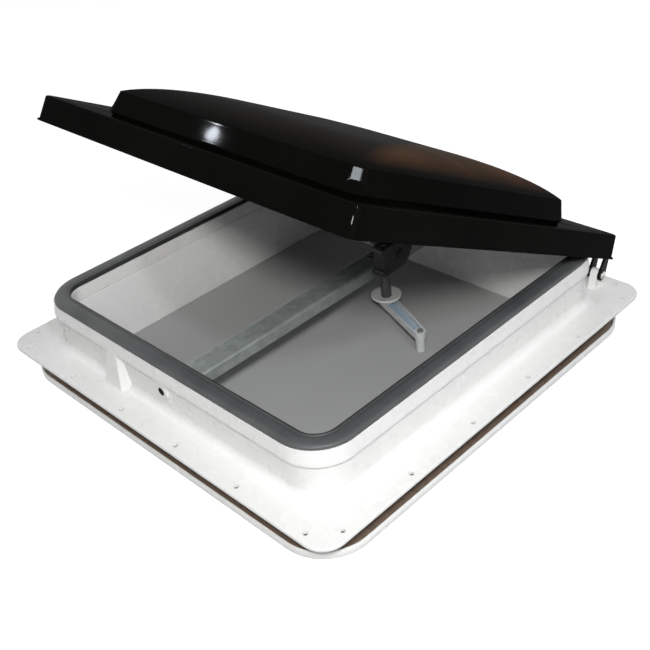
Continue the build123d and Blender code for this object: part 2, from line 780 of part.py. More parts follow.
nodes = {
    "roof_base": roof_base,
    "rim_seal": rim_seal,
    "crossbar": crossbar,
    "bar_end_screws": bar_end_screws,
    "operator_housing": operator_housing,
    "operator_cover": operator_cover,
    "cover_screws": cover_screws,
    "foot_screws": foot_screws,
    "crank_neck": crank_neck,
    "neck_plate": neck_plate,
    "hinge_pins": hinge_pins,
    "lid_shell": lid_shell,
    "hinge_bracket_left": lambda: hinge_bracket(-1),
    "hinge_bracket_right": lambda: hinge_bracket(1),
    "bracket_rivets": bracket_rivets,
    "lift_rail": lift_rail,
    "rail_screws": rail_screws,
    "lift_arm": lift_arm,
    "arm_shaft": arm_shaft,
    "arm_clip": arm_clip,
    "worm_wheel": worm_wheel,
    "roller_pin": roller_pin,
    "roller": roller,
    "worm_shaft": worm_shaft,
    "crank_handle": crank_handle,
    "crank_screw": crank_screw,
    "knob_pin": knob_pin,
    "crank_knob": crank_knob,
    "ceiling_trim": ceiling_trim,
}

os.makedirs("parts", exist_ok=True)
for name, make in nodes.items():
    export_step(make(), "parts/" + name + ".step")
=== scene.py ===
import bpy
from math import sin, cos, pi, radians, tau
from mathutils import Matrix, Vector


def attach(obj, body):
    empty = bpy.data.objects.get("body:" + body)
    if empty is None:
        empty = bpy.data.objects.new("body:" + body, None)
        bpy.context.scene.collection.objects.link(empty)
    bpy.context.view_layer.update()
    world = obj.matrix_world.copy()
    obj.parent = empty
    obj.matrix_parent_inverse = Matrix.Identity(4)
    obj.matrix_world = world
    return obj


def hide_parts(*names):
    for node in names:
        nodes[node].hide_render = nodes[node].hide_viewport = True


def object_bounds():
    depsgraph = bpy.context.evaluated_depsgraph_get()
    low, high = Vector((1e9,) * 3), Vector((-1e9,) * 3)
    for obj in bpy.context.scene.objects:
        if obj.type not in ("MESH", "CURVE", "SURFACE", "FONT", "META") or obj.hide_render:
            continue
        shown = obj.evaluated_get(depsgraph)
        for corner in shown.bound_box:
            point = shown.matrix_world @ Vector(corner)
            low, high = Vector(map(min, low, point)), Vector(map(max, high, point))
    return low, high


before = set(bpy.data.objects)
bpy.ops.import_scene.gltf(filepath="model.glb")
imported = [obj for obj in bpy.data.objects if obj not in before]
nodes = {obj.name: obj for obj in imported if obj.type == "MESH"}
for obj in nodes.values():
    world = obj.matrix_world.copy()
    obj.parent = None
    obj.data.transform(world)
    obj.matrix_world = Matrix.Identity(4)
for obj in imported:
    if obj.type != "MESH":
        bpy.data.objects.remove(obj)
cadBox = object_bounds()
print("vent: frame loaded with", len(nodes), "nodes")


# camera at the photograph's angle
cameraSettings = {
    "azimuth": 48.194,
    "elevation": 33.67,
    "roll": -6.49,
    "distance": 0.94606,
    "target": (0.014354, -0.010331, 0.003),
    "lens": 52.55,
    "sensor": 36,
    "nearest": 0.01,
}


def makeCamera(c):
    az, el, roll = radians(c["azimuth"]), radians(c["elevation"]), radians(c["roll"])
    back = Vector((sin(az) * cos(el), -cos(az) * cos(el), sin(el)))
    right = (-back).cross(Vector((0, 0, 1))).normalized()
    up = right.cross(-back)
    side = right * cos(roll) + up * sin(roll)
    top = up * cos(roll) - right * sin(roll)
    place = Matrix((side, top, back)).transposed().to_4x4()
    place.translation = Vector(c["target"]) + back * c["distance"]
    data = bpy.data.cameras.new("ventCamera")
    data.lens = c["lens"]
    data.sensor_width = c["sensor"]
    data.clip_start = c["nearest"]
    camera = bpy.data.objects.new("ventCamera", data)
    camera.matrix_world = place
    bpy.context.scene.collection.objects.link(camera)
    bpy.context.scene.camera = camera


makeCamera(cameraSettings)
print("vent: camera set")


# small helpers for shader trees
def startMaterial(name):
    material = bpy.data.materials.new(name)
    material.use_nodes = True
    tree = material.node_tree
    return material, tree, tree.nodes["Principled BSDF"]


def addNode(tree, kind, **values):
    node = tree.nodes.new(kind)
    for key, value in values.items():
        if key in node.inputs:
            node.inputs[key].default_value = value
        else:
            setattr(node, key, value)
    return node


def setShader(shader, **values):
    for key, value in values.items():
        shader.inputs[key.replace("_", " ")].default_value = value


def linkShader(tree, shader, **sources):
    for key, source in sources.items():
        tree.links.new(source, shader.inputs[key.replace("_", " ")])


def objectCoords(tree, stretch=(1, 1, 1), turn=0):
    coords = addNode(tree, "ShaderNodeTexCoord")
    mapping = addNode(tree, "ShaderNodeMapping", Scale=stretch, Rotation=(0, 0, turn))
    tree.links.new(coords.outputs["Object"], mapping.inputs["Vector"])
    return mapping.outputs["Vector"]


def noise(tree, where, scale, detail, rough=0.55):
    node = addNode(tree, "ShaderNodeTexNoise", Scale=scale, Detail=detail, Roughness=rough)
    tree.links.new(where, node.inputs["Vector"])
    return node.outputs["Fac"]


def combine(tree, first, second, how="MULTIPLY"):
    node = addNode(tree, "ShaderNodeMath", operation=how)
    for value, socket in ((first, node.inputs[0]), (second, node.inputs[1])):
        if isinstance(value, (int, float)):
            socket.default_value = value
        else:
            tree.links.new(value, socket)
    return node.outputs[0]


def spread(tree, value, low, high, outLow, outHigh):
    node = addNode(tree, "ShaderNodeMapRange")
    for key, number in (("From Min", low), ("From Max", high), ("To Min", outLow), ("To Max", outHigh)):
        node.inputs[key].default_value = number
    tree.links.new(value, node.inputs["Value"])
    return node.outputs["Result"]


def colourRamp(tree, value, stops, dark, light):
    node = addNode(tree, "ShaderNodeValToRGB")
    for element, at, colour in zip(node.color_ramp.elements, stops, (dark, light)):
        element.position = at
        element.color = (*colour, 1)
    tree.links.new(value, node.inputs["Fac"])
    return node.outputs["Color"]


def mixColour(tree, share, first, second):
    node = addNode(tree, "ShaderNodeMix", data_type="RGBA", blend_type="MIX")
    tree.links.new(share, node.inputs[0])
    tree.links.new(first, node.inputs[6])
    node.inputs[7].default_value = (*second, 1)
    return node.outputs[2]


def bump(tree, height, strength, distance, under=None):
    node = addNode(tree, "ShaderNodeBump", Strength=strength, Distance=distance)
    tree.links.new(height, node.inputs["Height"])
    if under is not None:
        tree.links.new(under, node.inputs["Normal"])
    return node.outputs["Normal"]


def roundedEdges(tree, radius):
    return addNode(tree, "ShaderNodeBevel", samples=4, Radius=radius).outputs["Normal"]


def axesOf(tree, where):
    axes = addNode(tree, "ShaderNodeSeparateXYZ")
    tree.links.new(where, axes.inputs[0])
    return [axes.outputs[axis] for axis in ("X", "Y", "Z")]


def lengthOf(tree, first, second):
    squares = [combine(tree, side, 2, "POWER") for side in (first, second)]
    return combine(tree, combine(tree, *squares, "ADD"), 0.5, "POWER")


def squareDistance(tree, where, half, radius):
    # distance outside a rounded square round the Z axis, negative inside it
    beyond = []
    for side in axesOf(tree, where)[:2]:
        size = combine(tree, side, 0, "ABSOLUTE")
        beyond.append(combine(tree, size, half - radius, "SUBTRACT"))
    nearest = combine(tree, combine(tree, *beyond, "MAXIMUM"), 0, "MINIMUM")
    away = lengthOf(tree, *[combine(tree, b, 0, "MAXIMUM") for b in beyond])
    return combine(tree, combine(tree, away, nearest, "ADD"), radius, "SUBTRACT")


# four recipes that the finishes share: each takes a dictionary whose "noise" is (scale, detail)
def clouded(tree, where, s, dark, light):
    return colourRamp(tree, noise(tree, where, *s["noise"]), s["stops"], dark, light)


def speckled(tree, where, s, colour):
    return mixColour(tree, spread(tree, noise(tree, where, *s["noise"]), *s["range"]), colour, s["colour"])


def smeared(tree, where, s, rough):
    return spread(tree, noise(tree, where, *s["noise"]), *s["range"], *rough)


def rippled(tree, where, s, under=None):
    return bump(tree, noise(tree, where, *s["noise"]), s["strength"], s["height"], under)


# moulded white plastic: slightly warm and glossy, with painted shade in the gap between flange and trim, in
# the rim's screw bores and on the crank's recess floor
whiteSettings = {
    "base": {"light": (0.805, 0.80, 0.785), "dark": (0.785, 0.779, 0.762), "rough": (0.26, 0.30),
             "edge": 0.0009},
    "trim": {"light": (0.84, 0.838, 0.825), "dark": (0.82, 0.816, 0.80), "rough": (0.25, 0.29),
             "edge": 0.0008},
    # the crank's white greyed down as painted shade for the lid's shadow over crank and knob
    "crank": {"light": (0.60, 0.61, 0.61), "dark": (0.53, 0.54, 0.545), "rough": (0.26, 0.36),
              "edge": 0.0006},
    "clouds": {"noise": (7, 4), "stops": (0.34, 0.6)},
    "specks": {"noise": (520, 1), "range": (0.80, 0.83, 0, 0.25), "colour": (0.46, 0.44, 0.41)},
    "smears": {"noise": (45, 3), "range": (0.35, 0.7)},
    "waves": {"noise": (18, 1), "strength": 0.02, "height": 0.001},
    "grain": {"noise": (1300, 2), "strength": 0.015, "height": 0.0002},
    "bend": 1.5,
    # painted shade for the gap between flange and trim
    "gapShade": {"colour": (0.165, 0.118, 0.088), "heights": (-0.0286, -0.0006), "outside": (0.2196, 0.0440),
             "inside": (0.1800, 0.0205), "soft": 0.0006},
    # painted shade inside the rim's screw bores
    "bore": {"colour": (0.020, 0.016, 0.013), "height": 0.029, "radius": 0.0040, "sideSoft": 0.0002,
             "depth": (0.1845, 0.2000), "depthSoft": (0.0003, 0.0009)},
    # painted shade on the crank's recess floor
    "recess": {"colour": (0.33, 0.42, 0.49), "height": -0.0103, "soft": 0.0001, "looksUp": (0.8, 0.95)},
}


def paintedGapShade(tree, where, s):
    # painted shade: a brown-grey darkening of the space between flange and trim, where little light reaches
    soft = s["soft"]
    inside = spread(tree, squareDistance(tree, where, *s["outside"]), -soft, soft, 1, 0)
    outside = spread(tree, squareDistance(tree, where, *s["inside"]), -soft, soft, 0, 1)
    low, high = s["heights"]
    height = axesOf(tree, where)[2]
    above = spread(tree, height, low, low + soft, 0, 1)
    below = spread(tree, height, high - soft, high, 1, 0)
    return combine(tree, combine(tree, inside, outside), combine(tree, above, below))


def boreDirt(tree, where, s):
    # painted shade: darkens the two screw bores in the rim's bosses, which run along Y
    x, y, z = axesOf(tree, where)
    away = lengthOf(tree, x, combine(tree, z, s["height"], "SUBTRACT"))
    near = spread(tree, away, s["radius"], s["radius"] + s["sideSoft"], 1, 0)
    depth = combine(tree, y, 0, "ABSOLUTE")
    low, high = s["depth"]
    lowSoft, highSoft = s["depthSoft"]
    beyond = spread(tree, depth, low, low + lowSoft, 0, 1)
    before = spread(tree, depth, high - highSoft, high, 1, 0)
    return combine(tree, near, combine(tree, beyond, before))


def paintedRecessShade(tree, where, s):
    # painted shade: a blue-grey darkening of the low floor of the crank's recess, where it looks up
    normal = addNode(tree, "ShaderNodeNewGeometry").outputs["Normal"]
    up = spread(tree, axesOf(tree, normal)[2], *s["looksUp"], 0, 1)
    low = spread(tree, axesOf(tree, where)[2], s["height"] - s["soft"], s["height"] + s["soft"], 1, 0)
    return combine(tree, up, low)


def whitePlastic(name, kind):
    white, own = whiteSettings, whiteSettings[kind]
    material, tree, shader = startMaterial(name)
    where = objectCoords(tree)
    colour = clouded(tree, where, white["clouds"], own["dark"], own["light"])
    colour = speckled(tree, where, white["specks"], colour)
    if kind == "crank":
        # painted shade on the crank's recess floor
        colour = mixColour(tree, paintedRecessShade(tree, where, white["recess"]), colour, white["recess"]["colour"])
    else:
        # painted shade between flange and trim
        colour = mixColour(tree, paintedGapShade(tree, where, white["gapShade"]), colour, white["gapShade"]["colour"])
    if kind == "base":
        # painted shade in the screw bores
        colour = mixColour(tree, boreDirt(tree, where, white["bore"]), colour, white["bore"]["colour"])
    rough = smeared(tree, where, white["smears"], own["rough"])
    normal = rippled(tree, where, white["waves"], roundedEdges(tree, own["edge"]))
    normal = rippled(tree, where, white["grain"], normal)
    linkShader(tree, shader, Base_Color=colour, Roughness=rough, Normal=normal)
    setShader(shader, IOR=white["bend"])
    return material


# glossy near-black lid with a painted brown reflection on the crown, turned up on its hinge
lidSettings = {
    "hinge": (0, 207, 17),  # in millimetres, the painted reflection's places below in metres
    "open": 27.45,
    "black": (0.0012, 0.0012, 0.0009),
    "soot": (0.0028, 0.0027, 0.0020),
    "clouds": {"noise": (9, 4), "stops": (0.35, 0.7)},
    # painted reflection of a brown surrounding on the crown
    "reflectedBrown": (0.078, 0.033, 0.013),
    "reflectionLean": 0.6,
    "reflectionSide": (0.100, 0.118, 0.04, 1),
    "crownFoot": 0.0655,
    "crownSoft": 0.010,
    "crownFacing": (0, 0.2, 0, 1),
    "reflectionStreaks": {"stretch": (3.2, 7.5, 7.5), "turn": 0.5, "noise": (1.5, 5, 0.6),
                "range": (0.40, 0.60, 0.55, 1.0)},
    "smears": {"stretch": (35, 9, 20), "turn": 0.4, "noise": (1, 4), "range": (0.3, 0.8)},
    "specks": {"noise": (700, 1), "range": (0.76, 0.82, 0, 0.25), "colour": (0.08, 0.075, 0.065)},
    "waves": {"noise": (14, 2), "strength": 0.10, "height": 0.002},
    "rough": (0.30, 0.42),
    "bend": 1.49,
    "gloss": 0.045,
    "glossRough": 0.05,
    "glossBend": 1.5,
}
lidTurn = radians(lidSettings["open"])
lidUp = (0, sin(lidTurn), cos(lidTurn))
lidBack = (0, cos(lidTurn), -sin(lidTurn))


def onLid(point):
    # a point of the shut lid in millimetres, turned up with it
    hingeY, hingeZ = lidSettings["hinge"][1:]
    y, z = point[1] - hingeY, point[2] - hingeZ
    back, up = hingeY + y * cos(lidTurn) + z * sin(lidTurn), hingeZ - y * sin(lidTurn) + z * cos(lidTurn)
    return (point[0], back, up)


def paintedCrownReflection(tree, where, s):
    # painted reflection: brown on the crown's outer face, in streaks, strong only towards its right rear
    # corner
    normal = addNode(tree, "ShaderNodeTexCoord").outputs["Normal"]
    along = []
    for source in (where, normal):
        part = addNode(tree, "ShaderNodeVectorMath", operation="DOT_PRODUCT")
        tree.links.new(source, part.inputs[0])
        part.inputs[1].default_value = lidUp
        along.append(part.outputs["Value"])
    foot = Vector(lidUp).dot(Vector(s["hinge"])) / 1000 + s["crownFoot"]
    high = spread(tree, along[0], foot, foot + s["crownSoft"], 0, 1)
    onCrown = combine(tree, high, spread(tree, along[1], *s["crownFacing"]))
    reflectionStreaks = s["reflectionStreaks"]
    drawn = noise(tree, objectCoords(tree, reflectionStreaks["stretch"], reflectionStreaks["turn"]), *reflectionStreaks["noise"])
    reflectionPatches = spread(tree, drawn, *reflectionStreaks["range"])
    x, y = axesOf(tree, where)[:2]
    side = combine(tree, x, combine(tree, y, s["reflectionLean"]), "ADD")
    return combine(tree, onCrown, combine(tree, reflectionPatches, spread(tree, side, *s["reflectionSide"])))


def lidPlastic(s):
    material, tree, shader = startMaterial("lidPlastic")
    where = objectCoords(tree)
    colour = clouded(tree, where, s["clouds"], s["black"], s["soot"])
    # painted brown reflection on the crown
    colour = mixColour(tree, paintedCrownReflection(tree, where, s), colour, s["reflectedBrown"])
    smears = s["smears"]
    rough = smeared(tree, objectCoords(tree, smears["stretch"], smears["turn"]), smears, s["rough"])
    colour = speckled(tree, where, s["specks"], colour)
    normal = rippled(tree, where, s["waves"])
    linkShader(tree, shader, Base_Color=colour, Roughness=rough, Normal=normal, Coat_Normal=normal)
    setShader(shader, IOR=s["bend"], Specular_IOR_Level=0.0, Coat_Weight=s["gloss"],
              Coat_Roughness=s["glossRough"], Coat_IOR=s["glossBend"])
    return material


# closed-cell rubber of the rim seal, with painted shade darkening its inner lip
rubberSettings = {
    "light": (0.092, 0.095, 0.096),
    "dark": (0.056, 0.058, 0.059),
    "clouds": {"noise": (24, 5), "stops": (0.3, 0.72)},
    # painted shade colour for the seal's inner lip
    "lip": (0.020, 0.021, 0.021),
    "lipShadeEdge": (0.1832, 0.0242),
    "lipShadeFade": (-0.0022, 0.0010, 0.85, 0),
    "cells": 1500,
    "cellStrength": 0.35,
    "cellHeight": 0.0003,
    "waves": {"noise": (120, 3), "strength": 0.2, "height": 0.0006},
    "smears": {"noise": (60, 3), "range": (0.3, 0.7)},
    "rough": (0.30, 0.46),
    "shine": 0.3,
}


def sealRubber(s):
    material, tree, shader = startMaterial("sealRubber")
    where = objectCoords(tree)
    colour = clouded(tree, where, s["clouds"], s["dark"], s["light"])
    # painted shade: the seal's inner lip darkened
    paintedLipShade = spread(tree, squareDistance(tree, where, *s["lipShadeEdge"]), *s["lipShadeFade"])
    colour = mixColour(tree, paintedLipShade, colour, s["lip"])
    cells = addNode(tree, "ShaderNodeTexVoronoi", Scale=s["cells"])
    tree.links.new(where, cells.inputs["Vector"])
    normal = bump(tree, cells.outputs["Distance"], s["cellStrength"], s["cellHeight"])
    normal = rippled(tree, where, s["waves"], normal)
    rough = smeared(tree, where, s["smears"], s["rough"])
    linkShader(tree, shader, Base_Color=colour, Roughness=rough, Normal=normal)
    setShader(shader, Specular_IOR_Level=s["shine"])
    return material


# galvanised sheet: zinc flowers of two greys, scratched along the bar
zincSettings = {
    "flower": 150,
    "loose": 0.9,
    "pale": (0.39, 0.43, 0.42),
    "dull": (0.30, 0.33, 0.32),
    "stops": (0.1, 0.9),
    "bloom": {"noise": (18, 4), "range": (0.45, 0.7, 0, 0.45), "colour": (0.40, 0.42, 0.40)},
    "scratches": {"stretch": (900, 12, 900), "noise": (1, 2), "strength": 0.12, "height": 0.0002},
    "rough": (0.34, 0.46),
    "edge": 0.0007,
    "metal": 0.5,
}


def galvanised(s):
    material, tree, shader = startMaterial("galvanised")
    where = objectCoords(tree)
    flowers = addNode(tree, "ShaderNodeTexVoronoi", Scale=s["flower"], Randomness=s["loose"])
    tree.links.new(where, flowers.inputs["Vector"])
    tone = addNode(tree, "ShaderNodeSeparateColor")
    tree.links.new(flowers.outputs["Color"], tone.inputs["Color"])
    colour = colourRamp(tree, tone.outputs[0], s["stops"], s["dull"], s["pale"])
    colour = speckled(tree, where, s["bloom"], colour)
    rough = spread(tree, tone.outputs[1], 0, 1, *s["rough"])
    scratches = s["scratches"]
    normal = rippled(tree, objectCoords(tree, scratches["stretch"]), scratches, roundedEdges(tree, s["edge"]))
    linkShader(tree, shader, Base_Color=colour, Roughness=rough, Normal=normal)
    setShader(shader, Metallic=s["metal"])
    return material


# bright plated fasteners; a zinc, a die-cast and a tube finish darkened as painted shade; black powder coat
# and natural nylon share one recipe
grainSettings = {
    "clouds": {"noise": (90, 4), "stops": (0.32, 0.68)},
    "smears": {"noise": (260, 3), "range": (0.3, 0.7)},
    "detail": 3,
    "height": 0.0003,
}
metalSettings = {
    # painted shade: a darker copy of the zinc plate for screws sitting in the bores and under the lid
    "dullZinc": {"light": (0.11, 0.105, 0.095), "dark": (0.045, 0.042, 0.038), "metal": 0.5,
                 "rough": (0.40, 0.58), "grain": 700, "strength": 0.15, "edge": 0.0003, "shine": 0.5},
    "zincPlate": {"light": (0.66, 0.66, 0.63), "dark": (0.46, 0.46, 0.44), "metal": 1.0,
                  "rough": (0.22, 0.40), "grain": 700, "strength": 0.10, "edge": 0.0003, "shine": 0.5},
    # painted shade: the operator's die-cast near black, standing in for the lid's shadow over it
    "shadedDieCast": {"light": (0.060, 0.062, 0.060), "dark": (0.035, 0.036, 0.035), "metal": 0.4,
                "rough": (0.42, 0.58), "grain": 420, "strength": 0.30, "edge": 0.0005, "shine": 0.5},
    # painted shade: the crank neck's metal darkened for the lid's shadow over it
    "shadedNeckTube": {"light": (0.15, 0.155, 0.15), "dark": (0.09, 0.092, 0.09), "metal": 0.5,
                 "rough": (0.34, 0.5), "grain": 500, "strength": 0.18, "edge": 0.0005, "shine": 0.5},
    "blackCoat": {"light": (0.008, 0.008, 0.007), "dark": (0.004, 0.004, 0.004), "metal": 0.0,
                  "rough": (0.40, 0.58), "grain": 1600, "strength": 0.25, "edge": 0.0004, "shine": 0.08},
    "nylon": {"light": (0.76, 0.74, 0.68), "dark": (0.66, 0.64, 0.57), "metal": 0.0,
              "rough": (0.38, 0.52), "grain": 800, "strength": 0.15, "edge": 0.0003, "shine": 0.5},
}


def grainyMaterial(name, s):
    shared = grainSettings
    material, tree, shader = startMaterial(name)
    where = objectCoords(tree)
    colour = clouded(tree, where, shared["clouds"], s["dark"], s["light"])
    rough = smeared(tree, where, shared["smears"], s["rough"])
    grain = noise(tree, where, s["grain"], shared["detail"])
    normal = bump(tree, grain, s["strength"], shared["height"], roundedEdges(tree, s["edge"]))
    linkShader(tree, shader, Base_Color=colour, Roughness=rough, Normal=normal)
    setShader(shader, Metallic=s["metal"], Specular_IOR_Level=s["shine"])
    return material


finishes = {
    "base": whitePlastic("baseWhite", "base"),
    "trim": whitePlastic("trimWhite", "trim"),
    "crank": whitePlastic("crankWhiteShaded", "crank"),
    "lid": lidPlastic(lidSettings),
    "seal": sealRubber(rubberSettings),
    "zinc": galvanised(zincSettings),
}
for name, settings in metalSettings.items():
    finishes[name] = grainyMaterial(name, settings)

nodeFinish = {
    "roof_base": "base", "rim_seal": "seal", "crossbar": "zinc", "bar_end_screws": "zincPlate",
    "operator_housing": "shadedDieCast", "operator_cover": "shadedDieCast", "cover_screws": "zincPlate",
    "foot_screws": "zincPlate", "crank_neck": "shadedNeckTube", "neck_plate": "trim", "hinge_pins": "zincPlate",
    "lid_shell": "lid", "hinge_bracket_left": "blackCoat", "hinge_bracket_right": "blackCoat",
    "bracket_rivets": "blackCoat", "lift_rail": "zinc", "rail_screws": "zincPlate", "lift_arm": "zinc",
    "arm_shaft": "zincPlate", "arm_clip": "zincPlate", "worm_wheel": "nylon", "roller_pin": "zincPlate",
    "roller": "nylon", "worm_shaft": "zincPlate", "crank_handle": "crank", "crank_screw": "zincPlate",
    "knob_pin": "zinc", "crank_knob": "crank", "ceiling_trim": "trim",
}
for name, finish in nodeFinish.items():
    nodes[name].data.materials.clear()
    nodes[name].data.materials.append(finishes[finish])
print("vent: finishes on", len(nodeFinish), "nodes")


# small helpers for meshes
boxFaces = [(3, 2, 1, 0), (4, 5, 6, 7), (0, 1, 5, 4), (1, 2, 6, 5), (2, 3, 7, 6), (3, 0, 4, 7)]


def boxCorners(x0, x1, y0, y1, z0, z1):
    return [(x, y, z) for z in (z0, z1) for x, y in ((x0, y0), (x1, y0), (x1, y1), (x0, y1))]


def looseObject(name, verts, faces):
    mesh = bpy.data.meshes.new(name)
    mesh.from_pydata([tuple(v) for v in verts], [], faces)
    piece = bpy.data.objects.new(name, mesh)
    bpy.context.scene.collection.objects.link(piece)
    return piece


def addPiece(name, verts, faces, finish, body, smoothAngle):
    piece = looseObject(name, verts, faces)
    piece.data.validate()
    piece.data.materials.append(finishes[finish])
    piece.data.shade_smooth()
    piece.data.set_sharp_from_angle(angle=radians(smoothAngle))
    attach(piece, body)
    return piece


def squareOf(corner, half, radius):
    # a square, each of whose corners has the outline of a unit corner
    points = []
    for quarter in range(4):
        turn = Matrix.Rotation(quarter * pi / 2, 2)
        for x, y in corner:
            point = turn @ Vector((half - radius + radius * x, half - radius + radius * y))
            points.append((point.x, point.y))
    return points


def roundedSquare(half, radius, steps):
    turns = [k * pi / 2 / steps for k in range(steps + 1)]
    return squareOf([(cos(turn), sin(turn)) for turn in turns], half, radius)


def ringFaces(rings, count, closed=False):
    # the faces between each ring of points and the next one
    faces = []
    for r in range(rings if closed else rings - 1):
        here, there = r * count, (r + 1) % rings * count
        for k in range(count):
            after = (k + 1) % count
            faces.append((here + k, here + after, there + after, there + k))
    return faces


def joined(parts):
    verts, faces = [], []
    for partVerts, partFaces in parts:
        first = len(verts)
        verts += partVerts
        faces += [tuple(first + i for i in face) for face in partFaces]
    return verts, faces


def lathe(profile, steps, place):
    # a turned shape from its profile of (distance along the axis, radius)
    verts = []
    for along, radius in profile:
        for k in range(steps):
            angle = tau * k / steps
            x, y = radius * cos(angle), radius * sin(angle)
            verts.append(place @ Vector((x / 1000, y / 1000, along / 1000)))
    faces = ringFaces(len(profile), steps)
    faces.append(tuple(reversed(range(steps))))
    faces.append(tuple(range(len(verts) - steps, len(verts))))
    return verts, faces


def facing(point, direction):
    turn = Vector(direction).to_track_quat("Z", "Y").to_matrix().to_4x4()
    return Matrix.Translation(Vector(point) / 1000) @ turn


def cutAway(name, verts, faces, cutVerts, cutFaces):
    body = looseObject(name, verts, faces)
    cutter = looseObject(name + "Cutter", cutVerts, cutFaces)
    change = body.modifiers.new("recess", "BOOLEAN")
    change.operation = "DIFFERENCE"
    change.solver = "EXACT"
    change.use_self = True
    change.object = cutter
    bpy.context.view_layer.update()
    result = bpy.data.meshes.new_from_object(body.evaluated_get(bpy.context.evaluated_depsgraph_get()))
    newVerts = [v.co.copy() for v in result.vertices]
    newFaces = [tuple(p.vertices) for p in result.polygons]
    bpy.data.objects.remove(cutter)
    bpy.data.objects.remove(body)
    return newVerts, newFaces


# rim seal, a closed ring: an inner tube-like lip, a shallow groove and a flat pad
sealProfile = {
    "outline": [(0.2, 0.02), (0.05, 1.2), (0.25, 2.6), (0.9, 3.65), (2.0, 4.1), (3.2, 3.75), (3.9, 3.1),
                (4.6, 3.3), (5.6, 3.75), (8.5, 3.95), (12.5, 3.9), (15.2, 3.6), (16.9, 2.8), (17.8, 1.6),
                (18.1, 0.4), (17.9, 0.02)],
    "innerHalf": 179.2,
    "innerRadius": 19.4,
    "radiusGrowth": 1.21,
    "foot": 53.0,
    "cornerSteps": 14,
    "smooth": 60,
}


def makeSeal(s):
    verts = []
    for u, v in s["outline"]:
        half, radius = s["innerHalf"] + u, s["innerRadius"] + u * s["radiusGrowth"]
        ring = roundedSquare(half, radius, s["cornerSteps"])
        verts += [(x / 1000, y / 1000, (s["foot"] + v) / 1000) for x, y in ring]
    faces = ringFaces(len(s["outline"]), len(ring), closed=True)
    seal = addPiece("rimSealFoam", verts, faces, "seal", "base", s["smooth"])
    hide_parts("rim_seal")


makeSeal(sealProfile)
print("vent: rim seal made")


# the lid's skin: rings of (half width, height, corner radius) from the crown's middle out to the lip,
# and back up inside; drawn shut and turned up with the lid
lidSkin = {
    "crownHalf": 157.0,
    "crownRadius": 17.6,
    "crownHeight": 79.7,
    "crownRise": 17.0,
    "crownReach": 86.35,
    "crownTurn": (30, 82),
    "crownSteps": 16,
    "cornerEase": 3,
    "middleShares": (0.04, 0.2, 0.4, 0.6, 0.8),
    "middleBulge": 1.2,
    "wall": 2.0,
    "shoulder": [(157.25, 79.0, 17.8), (157.6, 77.8, 18.1), (157.86, 77.0, 18.4), (162.59, 62.2, 23.1),
                 (162.85, 61.4, 23.4), (163.3, 60.3, 23.8), (164.6, 59.7, 24.6)],
    "ledge": [(192.6, 59.7, 11.5), (193.1, 59.15, 11.5), (194.6, 59.15, 11.5), (195.1, 59.7, 11.5),
              (198.6, 59.7, 9.4), (199.5, 59.5, 9.6), (200.15, 59.0, 9.9), (200.5, 58.2, 10.0)],
    "lip": [(202.04, 38.1, 10.0), (202.5, 37.65, 10.3), (203.5, 37.6, 11.3), (203.95, 37.2, 11.8),
            (203.95, 36.4, 11.8), (203.6, 36.05, 11.4), (200.6, 36.05, 8.4), (200.2, 36.5, 8.0)],
    "inside": [(198.4, 56.8, 8.0), (197.6, 57.7, 8.0), (162.0, 57.7, 14.0), (160.9, 59.0, 14.0),
               (155.4, 77.2, 14.0)],
    "postHalf": 5.5,
    "postX": -0.6,
    "postY": 128.0,
    "postFoot": 57.7,
    "postTops": (91.9, 89.3),
    "notchX": 186.0,
    "notchHalf": 7.1,
    "notchY": (202.3, 210),
    "notchZ": (30, 37.7),
    "cornerSteps": 18,
    "cornerFlat": 0.58,
    "cornerTurns": (43.8, 46.2),
    "domeEdge": 165.0,
    "backReach": 1.036,
    "smooth": 32,
}


def easedCorner(steps, flat, turns):
    # a unit corner whose middle bends least: tight arcs on both sides of a nearly flat strip
    low, high = (radians(turn) for turn in turns)
    wide = flat / (high - low)
    tight = (1 - wide * (cos(low) - cos(high))) / (1 - cos(low) + cos(high))
    third = steps // 3
    rest = steps - 2 * third
    marks = [low * k / third for k in range(third)] + [low + (high - low) * k / third for k in range(third)]
    marks += [high + (pi / 2 - high) * k / rest for k in range(rest + 1)]
    points, x, y = [(1.0, 0.0)], 1.0, 0.0
    for first, last in zip(marks, marks[1:]):
        bend = wide if low < (first + last) / 2 < high else tight
        x -= bend * (cos(first) - cos(last))
        y += bend * (sin(last) - sin(first))
        points.append((x, y))
    return points


def crownRings(s, drop):
    low, high = (radians(turn) for turn in s["crownTurn"])
    rings = []
    for k in range(s["crownSteps"] + 1):
        turn = high - (high - low) * k / s["crownSteps"]
        drawnIn = s["crownReach"] * (cos(low) - cos(turn))
        rise = s["crownRise"] * (sin(turn) - sin(low)) / (sin(high) - sin(low))
        radius = s["crownRadius"] - drop + drawnIn / s["cornerEase"]
        rings.append((s["crownHalf"] - drop - drawnIn, s["crownHeight"] - drop + rise, radius))
    half, height, radius = rings[0]
    middle = []
    for share in s["middleShares"]:
        middle.append((half * share, height + s["middleBulge"] * (1 - share ** 2), radius * share))
    return middle + rings


def lidPost(s, y):
    # a square post for the lift rail, whose top slopes with the crown over it
    reach = s["postHalf"]
    corners = boxCorners(s["postX"] - reach, s["postX"] + reach, y - reach, y + reach, s["postFoot"], 0)
    tops = [(x, at, s["postTops"][abs(at) > s["postY"]]) for x, at, z in corners[4:]]
    return corners[:4] + tops, boxFaces


